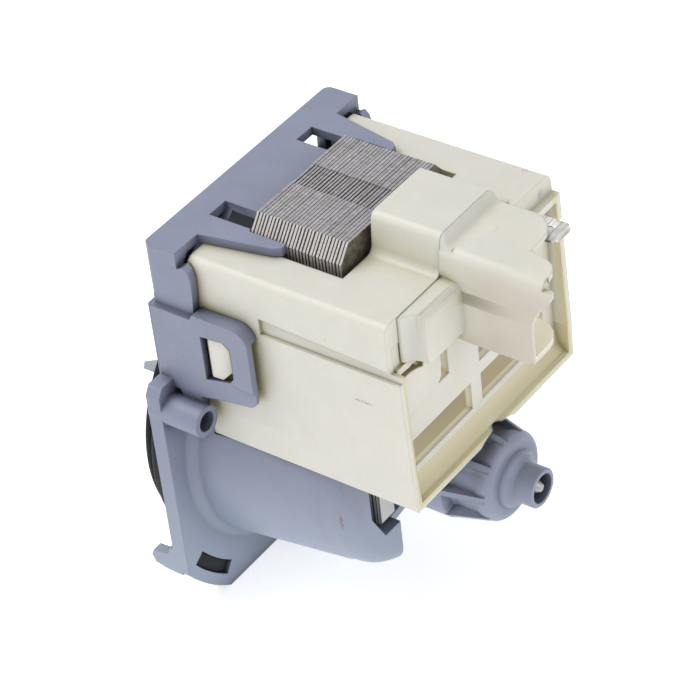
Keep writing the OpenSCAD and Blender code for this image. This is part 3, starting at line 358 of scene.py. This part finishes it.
def plastic(name, base, lit, shade, rough, depth=0.8, dirt=0.4, dirt_tint=(96, 84, 70), edge=0.35 * MM,
            scatter=0.0, painted_regions=(), marks=(), deep=0.0, crease_tint=(150, 150, 154), glow=None,
            glow_tint=(0, 0, 0)):
    """Moulded plastic: base and lit tints in soft clouds, painted shade in hollows and creases, worn edges
    and specks. Each of the painted regions gives the mask and the tint of painted light and shade on a part
    of the moulding. Deep says how dark the painted shade of the deepest hollows goes, and glow gives the mask
    of a
    painted glow: light that the part emits in place of light through its thin walls."""
    material, tree, shader = new_finish(name)
    skin = effect(tree, "grain", {"Grain": 0.3, "Waves": 0.4})
    wear = effect(tree, "wear", {"Width": 0.45 * MM, "Wear": 0.6})
    corner = effect(tree, "corner", {"Reach": 8 * MM, "Depth": depth})
    crease = effect(tree, "corner", {"Reach": 2.6 * MM, "Depth": 0.7})
    specks = effect(tree, "specks", {"Amount": dirt})
    tint = blend(tree, ranged(tree, skin["Tone"], 0.35, 0.68), colour(*base), colour(*lit))
    # Painted light and shade: each region tints its part
    for region, region_tint in painted_regions:
        tint = blend(tree, region(tree), tint, colour(*region_tint))
    # Painted shade: hollows, creases and, where deep is set, the deepest hollows are darkened where little
    # light reaches
    tint = blend(tree, corner["Mask"], tint, colour(*shade))
    tint = blend(tree, crease["Mask"], tint, colour(*crease_tint), "MULTIPLY")
    tint = blend(tree, times(tree, corner["Deep"], deep), tint, colour(26, 27, 34))
    tint = blend(tree, times(tree, wear["Mask"], 0.35), tint, colour(*lit))
    tint = blend(tree, specks["Mask"], tint, colour(*dirt_tint))
    tint = scuffed(tree, tint, marks)
    gloss = ranged(tree, skin["Tone"], 0.3, 0.7, rough - 0.05, rough + 0.06)
    gloss = maths(tree, "SUBTRACT", gloss, times(tree, wear["Mask"], 0.12))
    join(tree, shader, Base_Color=tint, Roughness=gloss)
    raise_surface(tree, shader, skin["Height"], 0.35, 0.04 * MM, edge)
    # Painted glow: the masked part emits light, in place of light through the thin walls
    if glow:
        join(tree, shader, Emission_Color=blend(tree, glow(tree), colour(0, 0, 0), colour(*glow_tint)))
        shader.inputs["Emission Strength"].default_value = 1.0
    shader.inputs["Subsurface Weight"].default_value = scatter
    shader.inputs["Subsurface Radius"].default_value = (1.0, 0.85, 0.42)
    shader.inputs["Subsurface Scale"].default_value = 3 * MM
    return material


def floor_bounce_light(tree):
    """A mask of painted light that grows towards the lowest part of the pump: the floor's bounce, paler and
    bluer.
    """
    return ranged(tree, axes(tree)["Z"], pale_from_z, pale_to_z, 0.0, 0.9)


def recess_warm_shade(tree):
    """A mask of the walls and the sloped sill of the cover's rear recess, which get a painted warm yellow
    shade.
    """
    at = axes(tree)
    aside = maths(tree, "ABSOLUTE", at["X"])
    room = times(tree, below(tree, aside, recess_outer_x), above(tree, at["Z"], recess_low_z))
    depth = times(tree, ranged(tree, at["Y"], recess_y, recess_y + 0.6 * MM),
                  ranged(tree, at["Y"], rim_y - 0.05 * MM, rim_y - 0.3 * MM))
    sides = maths(tree, "MAXIMUM", below(tree, at["Z"], recess_high_z), above(tree, aside, recess_side_x))
    walls = times(tree, depth, sides, room)
    sill = times(tree, below(tree, at["Z"], sill_z), above(tree, at["Y"], recess_y - 0.6 * MM), room)
    return times(tree, maths(tree, "MAXIMUM", walls, sill), 0.75)


def flank_shade(tree):
    """A mask of the hood's waved side wall, which gets a painted pinkish-brown shade."""
    at = axes(tree)
    inward = above(tree, at["X"], hood_side_x - 0.9 * MM)
    outward = below(tree, at["X"], hood_side_x + 1.2 * MM)
    downward = ranged(tree, at["Z"], flank_high_z, flank_low_z)
    rearward = ranged(tree, at["Y"], flank_front_y, flank_rear_y)
    return times(tree, inward, outward, downward, rearward, 0.7)


def inner_glow(tree):
    """A mask of painted glow on the cover's inside behind its rear windows and on the floor inside the hood,
    which emit light in place of light through the thin walls.
    """
    at = axes(tree)
    aside = maths(tree, "ABSOLUTE", at["X"])
    depth = times(tree, above(tree, at["Y"], room_front_y),
                  ranged(tree, at["Y"], recess_y - 1.0 * MM, recess_y - 1.8 * MM))
    height = times(tree, above(tree, at["Z"], room_low_z), below(tree, at["Z"], recess_high_z))
    behind = times(tree, depth, height, below(tree, aside, room_side_x))
    from_floor = maths(tree, "ABSOLUTE", maths(tree, "SUBTRACT", at["Z"], hood_floor_z))
    floor = times(tree, below(tree, from_floor, 0.3 * MM), below(tree, at["X"], hood_side_x - 1.1 * MM),
                  above(tree, at["Y"], hood_floor_y))
    return maths(tree, "MAXIMUM", behind, floor)


def body_plastic():
    """The pump body's blue-grey plastic, with a scratched place on the rear of its bell."""
    marks = (((26.2, 37.5, -2.2), (0.6, 4.5, 0.75), 1.9, (132, 84, 76)),
             ((26.0, 37.2, 0.4), (0.6, 5.5, 1.2), 1.2, (138, 98, 92)))
    # Painted light: the body is paler and bluer low down, as lit by the floor's bounce
    return plastic("body_plastic", (132, 138, 160), (140, 146, 168), (86, 91, 109), 0.42, depth=0.75,
                   dirt=0.2, painted_regions=((floor_bounce_light, (156, 168, 187)),), marks=marks, deep=0.8)


def cover_plastic():
    """The coil cover's cream plastic, with grey rub marks on its far corner and its near side."""
    marks = (((-24.4, 55.7, 52.5), (1, 0.7, 1), 1.3, (158, 156, 160)),
             ((-27.0, 51.0, 55.1), (0.6, 1, 1), 1.0, (172, 170, 172)),
             ((28.5, 48.5, 35.2), (1, 0.35, 2.2), 0.9, (132, 128, 124)))
    # Painted warm shade in the rear recess, painted pinkish-brown shade on the hood's flank, and a painted
    # glow inside
    painted_regions = ((recess_warm_shade, (214, 204, 164)), (flank_shade, (203, 194, 183)))
    return plastic("cover_plastic", (219, 217, 207), (225, 223, 214), (202, 193, 146), 0.40, depth=0.75,
                   dirt=0.2, dirt_tint=(168, 166, 166), edge=0.5 * MM, scatter=0.25, painted_regions=painted_regions,
                   marks=marks, crease_tint=(158, 153, 134), glow=inner_glow, glow_tint=(134, 130, 106))


def inner_plastic():
    """The plain pale plastic of the bobbins, the canister's cap and the magnet's hub."""
    return plastic("inner_plastic", (205, 203, 196), (212, 210, 203), (160, 158, 150), 0.45)


def impeller_plastic():
    """The impeller's light grey plastic, also used for its cap and for the dog that drives it."""
    return plastic("impeller_plastic", (164, 168, 178), (172, 176, 186), (120, 124, 136), 0.4)


def washer_plastic():
    """The slippery white plastic of the thrust washers."""
    return plastic("washer_plastic", (226, 220, 202), (232, 227, 210), (186, 178, 156), 0.35)


def rubber(name, base, worn, rough):
    """Black rubber with soft clouds of a worn shade, paler worn edges and specks of dust."""
    material, tree, shader = new_finish(name)
    skin = effect(tree, "grain", {"Grain": 0.5, "Waves": 0.3})
    corner = effect(tree, "corner", {"Reach": 3 * MM, "Depth": 0.5})
    wear = effect(tree, "wear", {"Width": 0.35 * MM, "Wear": 0.7})
    specks = effect(tree, "specks", {"Amount": 0.5})
    tint = blend(tree, ranged(tree, skin["Tone"], 0.35, 0.7), colour(*base), colour(*worn))
    tint = blend(tree, corner["Mask"], tint, colour(*base))
    tint = blend(tree, times(tree, wear["Mask"], 0.5), tint, colour(*worn))
    tint = blend(tree, specks["Mask"], tint, colour(70, 69, 68))
    gloss = ranged(tree, skin["Tone"], 0.3, 0.7, rough - 0.08, rough + 0.08)
    join(tree, shader, Base_Color=tint, Roughness=gloss)
    shader.inputs["Specular IOR Level"].default_value = 0.3
    raise_surface(tree, shader, skin["Height"], 0.4, 0.05 * MM, 0.25 * MM)
    return material


def seal_rubber():
    """The black rubber of the gasket and the small seals."""
    return rubber("seal_rubber", (11, 11, 12), (26, 26, 28), 0.6)


def disc_rubber():
    """The front disc's rubber, a shade greyer than the gasket."""
    return rubber("disc_rubber", (14, 14, 15), (30, 30, 32), 0.64)


def metal(name, base, dull, rough, streak=0.6, stain=(110, 100, 84)):
    """Bare metal: drawn streaks, dull patches, stains in the corners and bright worn edges."""
    material, tree, shader = new_finish(name)
    streaks = effect(tree, "streaks", {"Strength": streak})
    wear = effect(tree, "wear", {"Width": 0.25 * MM, "Wear": 0.8})
    corner = effect(tree, "corner", {"Reach": 2 * MM, "Depth": 0.5})
    tint = blend(tree, ranged(tree, streaks["Tone"], 0.35, 0.65), colour(*dull), colour(*base))
    tint = blend(tree, corner["Mask"], tint, colour(*stain))
    tint = blend(tree, times(tree, wear["Mask"], 0.6), tint, colour(235, 235, 235))
    gloss = ranged(tree, streaks["Tone"], 0.3, 0.7, rough + 0.12, rough - 0.06)
    join(tree, shader, Base_Color=tint, Roughness=gloss)
    shader.inputs["Metallic"].default_value = 1.0
    raise_surface(tree, shader, streaks["Height"], 0.3, 0.02 * MM, 0.12 * MM)
    return material


def tab_metal():
    """Tinned tab terminals."""
    return metal("tab_metal", (240, 238, 230), (126, 125, 128), 0.42, streak=1.2)


def shaft_steel():
    """The rotor's ground shaft."""
    return metal("shaft_steel", (176, 177, 181), (140, 142, 148), 0.30)


def bush_bronze():
    """The sintered bushes that the shaft turns in."""
    return metal("bush_bronze", (176, 142, 92), (140, 110, 72), 0.4, stain=(70, 52, 34))


def coil_wire():
    """Enamelled copper wire."""
    return metal("coil_wire", (190, 104, 58), (150, 74, 40), 0.32, streak=0.3, stain=(80, 36, 20))


def core_steel():
    """Stamped sheets: each has its own shade, with dark joints that gape at the flank and along the mark. The
    flank and the pole tips get a painted highlight, and the yoke's rear face painted shade with a warm
    painted reflection.
    """
    material, tree, shader = new_finish("core_steel")
    at = axes(tree)
    aside = maths(tree, "ABSOLUTE", at["X"])
    on_mark = below(tree, aside, sheet_mark)
    on_flank = above(tree, aside, sheet_flank)
    sheets = maths(tree, "DIVIDE", maths(tree, "SUBTRACT", at["Y"], sheet_front), sheet_pitch)
    own = add(tree, "ShaderNodeTexWhiteNoise", {"noise_dimensions": "1D"}, {
        "W": maths(tree, "FLOOR", sheets)}).outputs["Value"]
    torn = noise(tree, 0.5 * MM, 3.0, (1, 0.2, 1))
    mottled = noise(tree, 0.9 * MM, 4.0)
    patches = noise(tree, 5 * MM, 3.0)
    wear = effect(tree, "wear", {"Width": 0.18 * MM, "Wear": 0.9})

    gape = times(tree, maths(tree, "ADD", on_mark, on_flank), weighted(tree, (0.12, 1.0), (own, 0.2)))
    joint_from = maths(tree, "SUBTRACT", joint_start, gape)
    joint = ranged(tree, maths(tree, "SUBTRACT", maths(tree, "FRACT", sheets), joint_from), -0.03, 0.05)

    tone = weighted(tree, (own, 0.12), (torn, 0.45), (mottled, 0.4))
    tint = blend(tree, ranged(tree, tone, 0.3, 0.68), colour(132, 129, 130), colour(188, 186, 190))
    tint = blend(tree, ranged(tree, patches, 0.5, 0.75, 0.0, 0.3), tint, colour(118, 110, 98))
    # Painted highlights on the flank and on the pole tips
    tint = blend(tree, times(tree, on_flank, 0.6), tint, colour(214, 207, 202))
    tint = blend(tree, below(tree, at["Z"], pole_highlight_top_z), tint, colour(226, 225, 224))
    tint = blend(tree, times(tree, wear["Mask"], 0.4), tint, colour(210, 210, 212))
    tint = blend(tree, times(tree, joint, 0.92), tint, colour(30, 28, 27))

    # Painted shade on the yoke's rear face, with a warm painted reflection
    shaded_end = times(tree, above(tree, at["Y"], sheet_end - 0.02 * MM), above(tree, at["Z"], yoke_shade_low_z))
    end_shade_tint = blend(tree, ranged(tree, mottled, 0.35, 0.65), colour(84, 77, 66), colour(122, 116, 104))
    tint = blend(tree, shaded_end, tint, end_shade_tint)

    join(tree, shader, Base_Color=tint, Roughness=ranged(tree, tone, 0.2, 0.9, 0.54, 0.38))
    shader.inputs["Metallic"].default_value = 0.35
    raise_surface(tree, shader, weighted(tree, (torn, 1.0), (own, 0.4)), 0.3, 0.03 * MM, 0.05 * MM)
    return material


def magnet_ferrite():
    """Sintered ferrite: nearly black, matt, with a fine ground grain."""
    material, tree, shader = new_finish("magnet_ferrite")
    skin = effect(tree, "grain", {"Grain": 0.7, "Waves": 0.2})
    wear = effect(tree, "wear", {"Width": 0.3 * MM, "Wear": 1.0})
    tint = blend(tree, ranged(tree, skin["Tone"], 0.3, 0.7), colour(44, 42, 42), colour(64, 61, 60))
    tint = blend(tree, times(tree, wear["Mask"], 0.5), tint, colour(104, 102, 100))
    join(tree, shader, Base_Color=tint, Roughness=ranged(tree, skin["Tone"], 0.3, 0.7, 0.5, 0.66))
    raise_surface(tree, shader, skin["Height"], 0.5, 0.05 * MM, 0.3 * MM)
    return material


def fuse_ceramic():
    """A pale sleeve with brown heat marks."""
    material, tree, shader = new_finish("fuse_ceramic")
    skin = effect(tree, "grain", {"Grain": 0.5, "Waves": 0.5})
    heat = noise(tree, 2.5 * MM, 3.0)
    tint = blend(tree, ranged(tree, skin["Tone"], 0.3, 0.7), colour(206, 194, 160), colour(222, 214, 186))
    tint = blend(tree, ranged(tree, heat, 0.55, 0.75, 0.0, 0.6), tint, colour(150, 118, 74))
    join(tree, shader, Base_Color=tint, Roughness=ranged(tree, skin["Tone"], 0.3, 0.7, 0.4, 0.55))
    raise_surface(tree, shader, skin["Height"], 0.4, 0.04 * MM, 0.15 * MM)
    return material


finishes = {
    "body_plastic": body_plastic(),
    "cover_plastic": cover_plastic(),
    "inner_plastic": inner_plastic(),
    "impeller_plastic": impeller_plastic(),
    "washer_plastic": washer_plastic(),
    "seal_rubber": seal_rubber(),
    "disc_rubber": disc_rubber(),
    "tab_metal": tab_metal(),
    "shaft_steel": shaft_steel(),
    "bush_bronze": bush_bronze(),
    "coil_wire": coil_wire(),
    "core_steel": core_steel(),
    "magnet_ferrite": magnet_ferrite(),
    "fuse_ceramic": fuse_ceramic(),
}

# Pieces: which finish each node takes, on which body it rides, and how far its edges are cut round;
# the large mouldings have no cut, since their finish rounds their edges
shaped_nodes = {
    "pump_body": ("body_plastic", "pump", 0),
    "coil_cover": ("cover_plastic", "pump", 0),
    "terminal_hood": ("cover_plastic", "pump", 0),
    "core_stack": ("core_steel", "pump", 0),
    "flange_gasket": ("seal_rubber", "pump", 0),
    "front_disc": ("disc_rubber", "pump", 0.15 * MM),
    "canister_cap": ("inner_plastic", "pump", 0.15 * MM),
    "shaft_seal": ("seal_rubber", "pump", 0.1 * MM),
    "front_bearing": ("bush_bronze", "pump", 0.15 * MM),
    "rear_bearing": ("bush_bronze", "pump", 0.15 * MM),
    "front_bearing_ring": ("seal_rubber", "pump", 0.15 * MM),
    "rear_bearing_ring": ("seal_rubber", "pump", 0.15 * MM),
    "bobbin_near": ("inner_plastic", "pump", 0.15 * MM),
    "bobbin_far": ("inner_plastic", "pump", 0.15 * MM),
    "terminal_tab_far": ("tab_metal", "pump", 0.12 * MM),
    "terminal_tab_near": ("tab_metal", "pump", 0.12 * MM),
    "thermal_fuse": ("fuse_ceramic", "pump", 0.1 * MM),
    "rotor_shaft": ("shaft_steel", "rotor", 0.1 * MM),
    "rotor_hub": ("inner_plastic", "rotor", 0.15 * MM),
    "rotor_magnet": ("magnet_ferrite", "rotor", 0.3 * MM),
    "drive_dog": ("impeller_plastic", "rotor", 0.15 * MM),
    "impeller": ("impeller_plastic", "impeller", 0.15 * MM),
    "impeller_cap": ("impeller_plastic", "impeller", 0.15 * MM),
}

# Nodes that are shown as they are, with their finish
plain_nodes = {
    "cap_o_ring": "seal_rubber",
    "winding_link": "coil_wire",
    "front_thrust_washer": "washer_plastic",
    "rear_thrust_washer": "washer_plastic",
}


def node_build(node):
    """A node's mesh to work on: joined along its seams, with its flat faces whole."""
    build = bmesh.new()
    build.from_mesh(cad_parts[node].data)
    bmesh.ops.remove_doubles(build, verts=build.verts, dist=WELD)
    bmesh.ops.dissolve_limit(build, angle_limit=FLAT, verts=build.verts, edges=build.edges)
    return build


def shift_sheets(build):
    """Every sheet of the stack lies a hair out of line with the next one."""
    shifts = [Vector((random.gauss(0, 0.03), 0, random.gauss(0, 0.04))) * MM for _ in range(sheet_count)]
    for vertex in build.verts:
        sheet = int((vertex.co.y - sheet_front) / sheet_pitch + 0.1)
        vertex.co += shifts[min(max(sheet, 0), sheet_count - 1)]


def coil_round(low, high, corner, steps=6):
    """Points round a winding, each with the way that it faces, in X and Y."""
    points = []
    middles = ((high.x - corner, high.y - corner), (low.x + corner, high.y - corner),
               (low.x + corner, low.y + corner), (high.x - corner, low.y + corner))
    for quarter, middle in enumerate(middles):
        for step in range(steps + 1):
            turn = math.radians(90) * (quarter + step / steps)
            facing = Vector((math.cos(turn), math.sin(turn), 0))
            points.append((Vector((*middle, 0)) + facing * corner, facing))
    return points


def wind_wire(build, points, bottom, top):
    """The outer layer of turns: one wire laid round and round, each turn a little loose or tight."""
    pitch = 2 * wire_r
    turns = int((top - bottom) / pitch) - 1
    slack = [random.uniform(-0.05, 0.05) * MM for _ in range(turns + 2)]
    last = None
    for index in range(turns * len(points) + 1):
        turn, part = divmod(index, len(points))
        point, facing = points[part]
        share = part / len(points)
        out = slack[turn] * (1 - share) + slack[turn + 1] * share
        height = bottom + wire_r + (turn + share) * pitch
        row = []
        for step in range(wire_sides + 1):
            angle = math.radians(-90 + 180 * step / wire_sides)
            place_at = point + facing * (out + (math.cos(angle) - 1) * wire_r)
            place_at.z = height + math.sin(angle) * wire_r
            row.append(build.verts.new(place_at))
        if last:
            for step in range(wire_sides):
                build.faces.new((last[step], row[step], row[step + 1], last[step + 1]))
        last = row


def wind_core(build, points, low, high):
    """The layers below the outer one, as a block round the bobbin's tube."""
    loops = []
    for height in (low.z, high.z):
        outer, inner = [], []
        for point, facing in points:
            outside = point - facing * wire_r
            inside = (min(max(point.x, low.x + winding_depth), high.x - winding_depth),
                      min(max(point.y, low.y + winding_depth), high.y - winding_depth))
            outer.append(build.verts.new((outside.x, outside.y, height)))
            inner.append(build.verts.new((*inside, height)))
        loops.append((outer, inner))
    (outer_low, inner_low), (outer_high, inner_high) = loops
    for index in range(len(points)):
        after = (index + 1) % len(points)
        for ring in ((outer_low, outer_high), (outer_high, inner_high), (inner_high, inner_low),
                     (inner_low, outer_low)):
            build.faces.new((ring[0][index], ring[0][after], ring[1][after], ring[1][index]))


def winding_build(node):
    """A winding of many turns in the room of its node."""
    low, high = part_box(node)
    build = bmesh.new()
    points = coil_round(low, high, winding_corner)
    wind_core(build, points, low, high)
    bmesh.ops.remove_doubles(build, verts=build.verts, dist=WELD)
    wind_wire(build, points, low.z, high.z)
    return build


def piece_from(build, node, finish, body):
    """A piece made from its mesh, with its finish, its body and the node that it stands for."""
    for face in build.faces:
        face.smooth = True
    mesh = bpy.data.meshes.new(node + "_mesh")
    build.to_mesh(mesh)
    build.free()
    mesh.set_sharp_from_angle(angle=SHARP)
    mesh.materials.append(finishes[finish])
    piece = bpy.data.objects.new(node + "_piece", mesh)
    bpy.context.scene.collection.objects.link(piece)
    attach(piece, body)
    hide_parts(node)
    return piece


def keep_faces_flat(piece):
    """Normals that follow the larger faces, so that a flat face next to a curve still looks flat."""
    weights = piece.modifiers.new("face_weights", "WEIGHTED_NORMAL")
    weights.mode = "FACE_AREA"
    weights.weight = 60
    weights.keep_sharp = True


def round_edges(piece, width):
    """A bevel on the sharp edges, with normals that keep the flat faces flat."""
    bevel = piece.modifiers.new("rounded_edges", "BEVEL")
    bevel.width = width
    bevel.segments = 2
    bevel.limit_method = "ANGLE"
    bevel.angle_limit = SHARP
    bevel.use_clamp_overlap = False
    bevel.harden_normals = True


def make_shaped_pieces():
    """A piece for every node that gets its shape from its own solid."""
    for node, (finish, body, width) in shaped_nodes.items():
        build = node_build(node)
        if node == "core_stack":
            shift_sheets(build)
        piece = piece_from(build, node, finish, body)
        if width:
            round_edges(piece, width)
        else:
            keep_faces_flat(piece)


def finish_plain_nodes():
    """The finish of the nodes that are shown as they are."""
    for node, finish in plain_nodes.items():
        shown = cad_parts[node]
        for slot in shown.material_slots:
            slot.material = finishes[finish]


make_shaped_pieces()
for winding in ("winding_near", "winding_far"):
    piece_from(winding_build(winding), winding, "coil_wire", "pump")
finish_plain_nodes()


# The stage: a pale floor, a white surround and soft lamps, and the camera as it was solved from the photo
floor_z = cad_box[0].z
floor_half = 3.0
camera_place = Vector((0.36987, 0.33070, 0.39619))
camera_azimuth = math.radians(129.95)
camera_elevation = math.radians(37.96)
camera_roll = math.radians(-7.05)
camera_lens = 159.2
sensor_width = 36.0

# Each lamp's name, place, size and power
lamps = (
    ("key_lamp", (0.15, -0.35, 0.75), 0.7, 4.1),
    ("side_lamp", (0.8, 0.10, 0.10), 0.6, 1.15),
    ("rear_lamp", (-0.05, 0.8, 0.4), 0.6, 2.0),
)


def seen_directly(tree):
    """1 for rays that the eye sees straight, in a mirror or through glass, and 0 for light on the object."""
    path = add(tree, "ShaderNodeLightPath").outputs
    straight = maths(tree, "ADD", path["Is Camera Ray"], path["Is Glossy Ray"])
    return maths(tree, "ADD", straight, path["Is Transmission Ray"], True)


def make_floor():
    """A wide pale floor that keeps the object's shadow."""
    mesh = bpy.data.meshes.new("floor")
    build = bmesh.new()
    bmesh.ops.create_grid(build, x_segments=1, y_segments=1, size=floor_half)
    build.to_mesh(mesh)
    build.free()
    floor = bpy.data.objects.new("floor", mesh)
    floor.location.z = floor_z
    bpy.context.scene.collection.objects.link(floor)
    material, tree, shader = new_finish("floor_paint")
    speckle = noise(tree, 2 * MM, 2.0)
    tint = blend(tree, speckle, colour(238, 238, 238), colour(244, 244, 244))
    join(tree, shader, Base_Color=tint)
    shader.inputs["Roughness"].default_value = 0.9
    shader.inputs["Specular IOR Level"].default_value = 0.1
    glow = ranged(tree, seen_directly(tree), 0.0, 1.0, 0.34, 0.61)
    shader.inputs["Emission Color"].default_value = (1, 1, 1, 1)
    tree.links.new(glow, shader.inputs["Emission Strength"])
    floor.data.materials.append(material)


def make_surround():
    """White where the eye sees it, and softer as light."""
    world = bpy.data.worlds.new("surround")
    bpy.context.scene.world = world
    world.use_nodes = True
    tree = world.node_tree
    background = tree.nodes["Background"]
    background.inputs["Color"].default_value = (1, 1, 1, 1)
    strength = ranged(tree, seen_directly(tree), 0.0, 1.0, 0.38, 1.0)
    tree.links.new(strength, background.inputs["Strength"])


def make_lamp(name, place_at, aim, size, power):
    """A round soft lamp, with its size in metres and its power in watts."""
    data = bpy.data.lights.new(name, "AREA")
    data.shape = "DISK"
    data.size = size
    data.energy = power
    lamp = bpy.data.objects.new(name, data)
    lamp.location = place_at
    lamp.rotation_mode = "QUATERNION"
    lamp.rotation_quaternion = (Vector(aim) - Vector(place_at)).to_track_quat("-Z", "Y")
    bpy.context.scene.collection.objects.link(lamp)


def make_camera():
    """The camera at the photo's angle: looking down at the pump from behind its near side."""
    sin_a, cos_a = math.sin(camera_azimuth), math.cos(camera_azimuth)
    sin_e, cos_e = math.sin(camera_elevation), math.cos(camera_elevation)
    back = Vector((sin_a * cos_e, -cos_a * cos_e, sin_e))
    level_right = Vector((cos_a, sin_a, 0.0))
    level_up = back.cross(level_right)
    right = level_right * math.cos(camera_roll) + level_up * math.sin(camera_roll)
    up = back.cross(right)
    turn = Matrix((right, up, back)).transposed().to_4x4()
    data = bpy.data.cameras.new("camera")
    data.lens = camera_lens
    data.sensor_width = sensor_width
    data.clip_start = 0.01
    data.clip_end = 20
    camera = bpy.data.objects.new("camera", data)
    camera.matrix_world = Matrix.Translation(camera_place) @ turn
    bpy.context.scene.collection.objects.link(camera)
    bpy.context.scene.camera = camera


centre = (cad_box[0] + cad_box[1]) / 2
make_floor()
make_surround()
for lamp_name, lamp_place, lamp_size, lamp_power in lamps:
    make_lamp(lamp_name, lamp_place, centre, lamp_size, lamp_power)
make_camera()
bpy.context.scene.view_settings.view_transform = "Standard"
